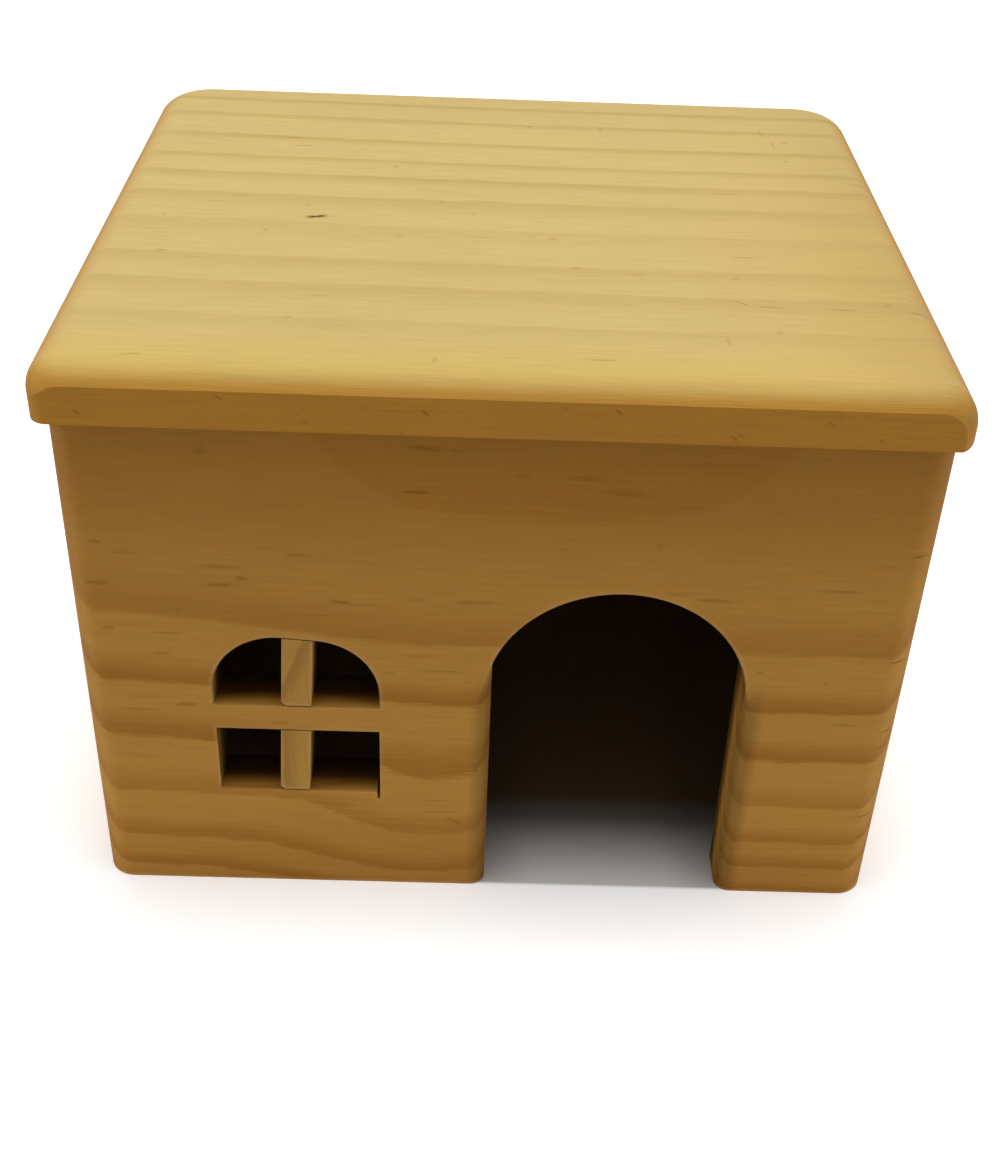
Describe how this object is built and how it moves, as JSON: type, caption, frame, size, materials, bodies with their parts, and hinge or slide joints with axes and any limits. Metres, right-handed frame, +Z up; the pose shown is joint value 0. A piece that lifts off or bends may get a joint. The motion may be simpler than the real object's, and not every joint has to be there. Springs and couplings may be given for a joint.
{
  "type": "wooden hamster house",
  "caption": "Bottomless pine shelter for a hamster: flat overhanging roof, round-headed doorway and an arched window with glazing bars.",
  "frame": {"origin": "on the ground under the middle of the roof", "axes": "+X to the right seen from the front, +Y from the front wall to the back wall, +Z up"},
  "size_m": [0.16, 0.147, 0.117],
  "materials": {
    "roof_pine": "bare sanded pine, satin, grain left to right",
    "wall_pine": "bare sanded pine, satin, grain level",
    "muntin_pine": "bare sawn pine, grain upright",
    "dowel_beech": "bare turned beech"
  },
  "bodies": {
    "root": {"roof": "roof_pine", "front_wall": "wall_pine", "back_wall": "wall_pine", "left_wall": "wall_pine", "right_wall": "wall_pine", "window_muntin_upper": "muntin_pine", "window_muntin_lower": "muntin_pine", "front_wall_dowels": "dowel_beech", "back_wall_dowels": "dowel_beech", "roof_dowels": "dowel_beech"}
  },
  "joints": []
}
